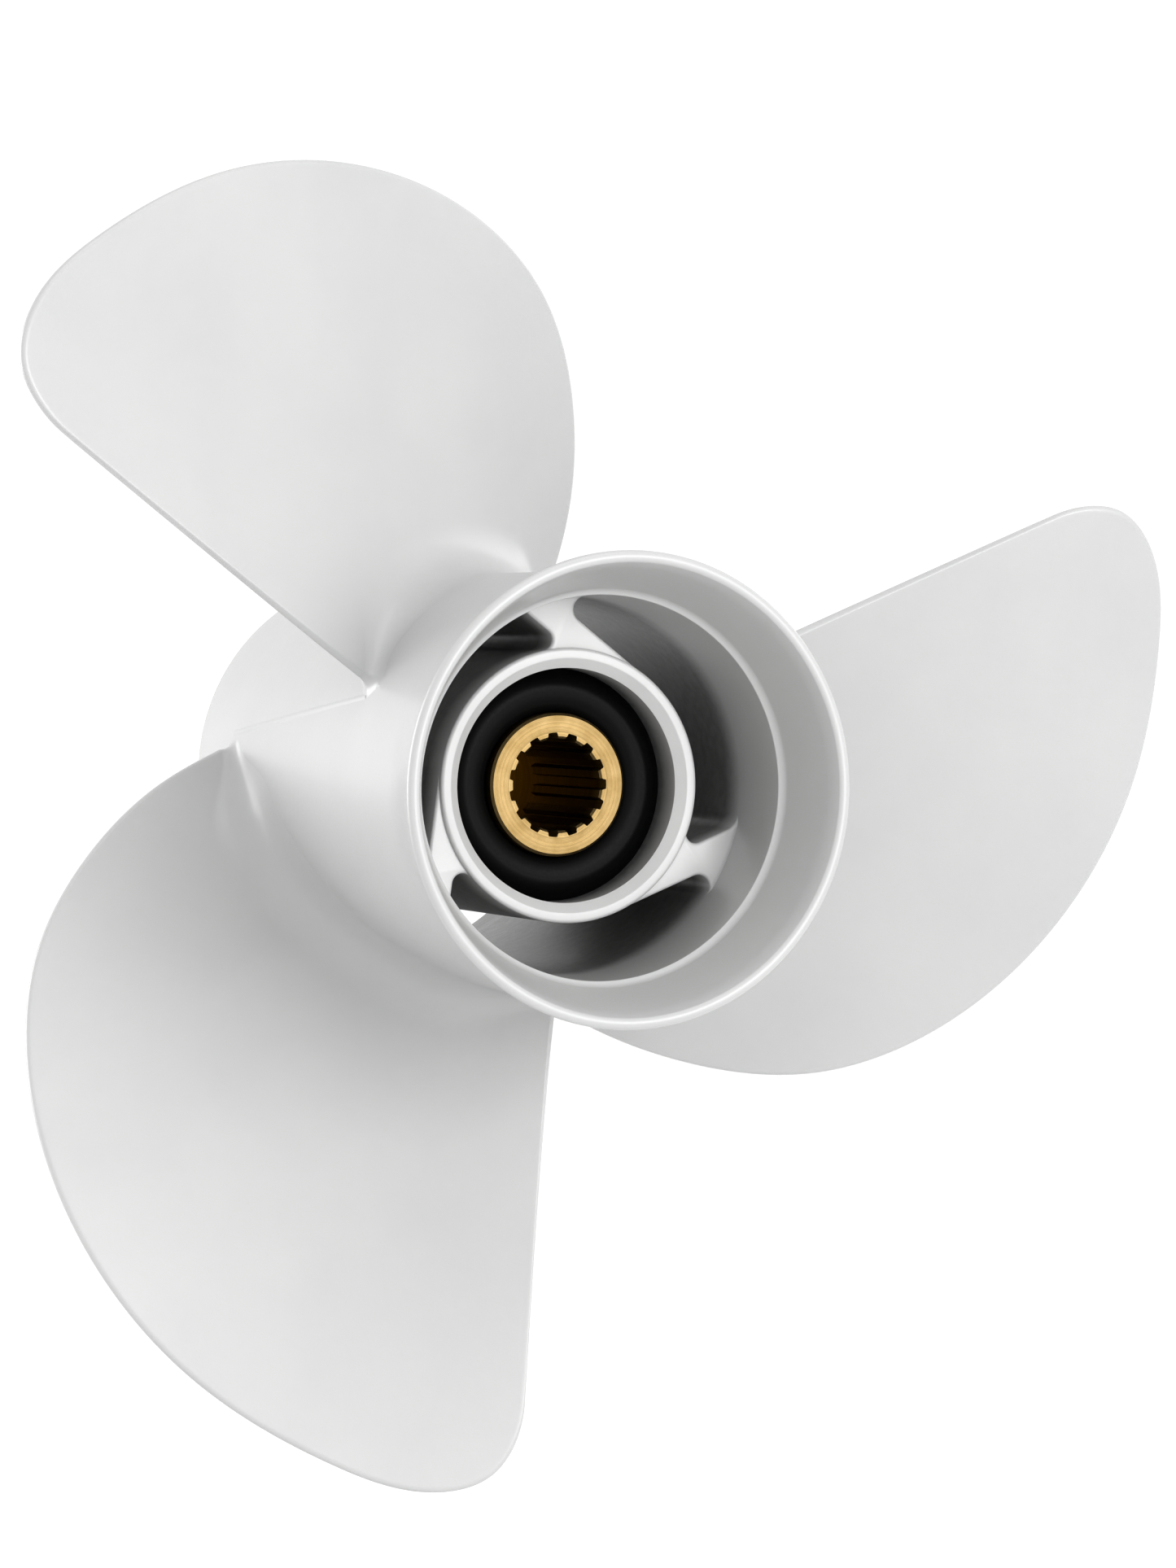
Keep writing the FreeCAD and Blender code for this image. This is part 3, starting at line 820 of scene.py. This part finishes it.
def around_shaft(material):
    """A vector whose X is the distance from the shaft and whose Y is the place along it."""
    place = add_node(material, "ShaderNodeTexCoord").outputs["Object"]
    split = add_node(material, "ShaderNodeSeparateXYZ")
    link(material, place, split.inputs["Vector"])
    flat = add_node(material, "ShaderNodeCombineXYZ")
    link(material, split.outputs["X"], flat.inputs["X"])
    link(material, split.outputs["Z"], flat.inputs["Y"])
    length = add_node(material, "ShaderNodeVectorMath", operation="LENGTH")
    link(material, flat.outputs["Vector"], length.inputs[0])
    joined = add_node(material, "ShaderNodeCombineXYZ")
    link(material, length.outputs["Value"], joined.inputs["X"])
    link(material, split.outputs["Y"], joined.inputs["Y"])
    return place, joined.outputs["Vector"]


def casting_paint():
    """Satin off-white paint on cast aluminium: faint mottling, orange peel, fine grain. Inside the
    hub and the exhaust passages the colour is painted darker as shade, and the aft faces of the
    hub and the ribs are painted lighter as the light they catch."""
    material, shader = new_material("casting_paint")
    place, rings = around_shaft(material)
    mottle = noise(material, place, 22.0, 4.0, 0.55)
    grain = noise(material, place, 2600.0, 2.0, 0.6)
    peel = noise(material, place, 420.0, 2.0, 0.5)
    coated = ramp(material, mottle, [(0.30, (0.465, 0.468, 0.466)), (0.70, (0.495, 0.497, 0.494))])
    # painted shade: a darker grey inside the hub and the exhaust passages stands in for the shade
    # deep in them
    painted_passage_shade = ramp(material, peel, [(0.30, (0.15, 0.15, 0.148)), (0.70, (0.20, 0.20, 0.197))])
    split = add_node(material, "ShaderNodeSeparateXYZ")
    link(material, rings, split.inputs["Vector"])
    within = spread(material, split.outputs["X"], 1.0, 0.0,
                    (SKIRT_RADIUS + 0.2) * MM, (SKIRT_RADIUS + 0.9) * MM)
    depth = spread(material, split.outputs["Y"], 0.0, 1.0,
                   (HUB_AFT + 2) * MM, (HUB_AFT + 10) * MM)
    passage_shade_mask = add_node(material, "ShaderNodeMath", operation="MULTIPLY")
    link(material, within, passage_shade_mask.inputs[0])
    link(material, depth, passage_shade_mask.inputs[1])
    # painted light: a lighter colour on the aft faces of the hub and the ribs stands in for the
    # light they catch
    lit_face_colour = ramp(material, mottle, [(0.30, (0.54, 0.54, 0.538)), (0.70, (0.63, 0.63, 0.628))])
    lit_face_mask = spread(material, split.outputs["X"], 1.0, 0.0,
                  (PASSAGE_RADIUS - 1.0) * MM, (PASSAGE_RADIUS - 0.3) * MM)
    with_lit_faces = blend(material, lit_face_mask, coated, lit_face_colour)
    colour = blend(material, passage_shade_mask.outputs["Value"], with_lit_faces, painted_passage_shade)
    link(material, colour, shader.inputs["Base Color"])
    link(material, spread(material, grain, 0.36, 0.46), shader.inputs["Roughness"])
    normal = bump(material, peel, 0.10, 0.00030)
    normal = bump(material, grain, 0.12, 0.00006, normal)
    link(material, normal, shader.inputs["Normal"])
    shader.inputs["Coat Weight"].default_value = 0.5
    shader.inputs["Coat Roughness"].default_value = 0.25
    return material


def sleeve_brass():
    """Turned brass: rings left by the tool on the faces and a little tarnish. From just inside
    its mouth the bore is painted dark brown, standing in for the shade deep in it."""
    material, shader = new_material("sleeve_brass")
    place, rings = around_shaft(material)
    marks = noise(material, rings, 3800.0, 2.0, 0.6, "2D")
    tarnish = noise(material, place, 260.0, 4.0, 0.6)
    colour = ramp(material, tarnish, [(0.25, (0.225, 0.156, 0.064)), (0.75, (0.315, 0.230, 0.112))])
    along = add_node(material, "ShaderNodeSeparateXYZ")
    link(material, place, along.inputs["Vector"])
    # painted shade: from a few millimetres in from the aft face the brass is darkened to deep
    # brown, as shade in the bore
    bore_shade_mask = spread(material, along.outputs["Y"], 0.0, 1.0,
                    (SLEEVE_AFT + 0.4) * MM, (SLEEVE_AFT + 5.0) * MM)
    with_bore_shade = blend(material, bore_shade_mask, colour, (0.055, 0.036, 0.020))
    link(material, with_bore_shade, shader.inputs["Base Color"])
    link(material, spread(material, marks, 0.36, 0.50), shader.inputs["Roughness"])
    link(material, bump(material, marks, 0.35, 0.00008), shader.inputs["Normal"])
    shader.inputs["Metallic"].default_value = 1.0
    shader.inputs["Specular Tint"].default_value = (0.60, 0.46, 0.33, 1)
    return material


def bush_rubber():
    """Moulded black rubber: a fine matt grain and faint rings from the mould."""
    material, shader = new_material("bush_rubber")
    place, rings = around_shaft(material)
    grain = noise(material, place, 1900.0, 3.0, 0.6)
    mould = noise(material, rings, 700.0, 2.0, 0.5, "2D")
    colour = ramp(material, mould, [(0.3, (0.0025, 0.0025, 0.0025)), (0.7, (0.005, 0.005, 0.005))])
    link(material, colour, shader.inputs["Base Color"])
    link(material, spread(material, grain, 0.32, 0.46), shader.inputs["Roughness"])
    shader.inputs["Specular IOR Level"].default_value = 0.09
    normal = bump(material, mould, 0.15, 0.0001)
    link(material, bump(material, grain, 0.25, 0.00005, normal), shader.inputs["Normal"])
    return material


# ---------------------------------------------------------------- the propeller

def finish_piece(obj, body, node, material):
    obj.data.materials.append(material)
    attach(obj, body)
    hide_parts(node)


def make_propeller():
    paint = casting_paint()
    finish_piece(make_barrel(), "casting", "barrel", paint)
    finish_piece(make_inner_hub(), "casting", "inner_hub", paint)
    for number in range(1, BLADES + 1):
        finish_piece(make_rib(number), "casting", "rib_%d" % number, paint)
        finish_piece(make_blade(number), "casting", "blade_%d" % number, paint)
    finish_piece(make_bush(), "bush", "rubber_bush", bush_rubber())
    finish_piece(make_sleeve(), "sleeve", "spline_sleeve", sleeve_brass())


# ---------------------------------------------------------------- stage, light and camera

def make_stage(centre, lowest):
    """A pale floor that fades out into the white surroundings, so no horizon shows."""
    bm = bmesh.new()
    bmesh.ops.create_circle(bm, cap_ends=True, segments=96, radius=FLOOR_RADIUS)
    mesh = bpy.data.meshes.new("floor")
    bm.to_mesh(mesh)
    bm.free()
    floor = bpy.data.objects.new("floor", mesh)
    floor.location = (centre.x, centre.y, lowest - FLOOR_DROP)
    bpy.context.scene.collection.objects.link(floor)
    material, shader = new_material("floor_white")
    shader.inputs["Base Color"].default_value = (0.84, 0.84, 0.84, 1)
    shader.inputs["Roughness"].default_value = 0.9
    shader.inputs["Specular IOR Level"].default_value = 0.1
    place = add_node(material, "ShaderNodeTexCoord").outputs["Object"]
    length = add_node(material, "ShaderNodeVectorMath", operation="LENGTH")
    link(material, place, length.inputs[0])
    edge = spread(material, length.outputs["Value"], 1.0, 0.0, *FLOOR_FADE)
    link(material, edge, shader.inputs["Alpha"])
    mesh.materials.append(material)

    world = bpy.data.worlds.new("studio_white")
    world.use_nodes = True
    background = world.node_tree.nodes["Background"]
    background.inputs["Color"].default_value = (1, 1, 1, 1)
    background.inputs["Strength"].default_value = WORLD_STRENGTH
    bpy.context.scene.world = world
    bpy.context.scene.view_settings.view_transform = "Standard"
    bpy.context.scene.view_settings.gamma = VIEW_GAMMA


def view_back(azimuth, elevation):
    """The direction from the part to a viewer at an azimuth and elevation in degrees."""
    a, e = math.radians(azimuth), math.radians(elevation)
    return Vector((math.sin(a) * math.cos(e), -math.cos(a) * math.cos(e), math.sin(e)))


def place_facing(name, data, aim, back, distance):
    """An object that stands back from a point by a distance and looks at it."""
    obj = bpy.data.objects.new(name, data)
    obj.location = aim + back * distance
    obj.rotation_mode = "QUATERNION"
    obj.rotation_quaternion = (-back).to_track_quat("-Z", "Y")
    bpy.context.scene.collection.objects.link(obj)
    return obj


def soft_light(name, centre, azimuth, elevation, power):
    """A square soft box that looks at the centre."""
    light = bpy.data.lights.new(name, "AREA")
    light.size = LIGHT_SIZE
    light.energy = power
    place_facing(name, light, centre, view_back(azimuth, elevation), LIGHT_DISTANCE)


def make_camera(centre):
    data = bpy.data.cameras.new("camera")
    data.sensor_width = 36.0
    data.lens = VIEW_LENS
    back = view_back(VIEW_AZIMUTH, VIEW_ELEVATION)
    camera = place_facing("camera", data, centre + VIEW_AIM, back, VIEW_DISTANCE)
    bpy.context.scene.camera = camera


make_propeller()
middle = (CAD_BOX[0] + CAD_BOX[1]) / 2
make_stage(middle, CAD_BOX[0].z)
for name, azimuth, elevation, power in LIGHTS:
    soft_light(name, middle, azimuth, elevation, power)
make_camera(middle)
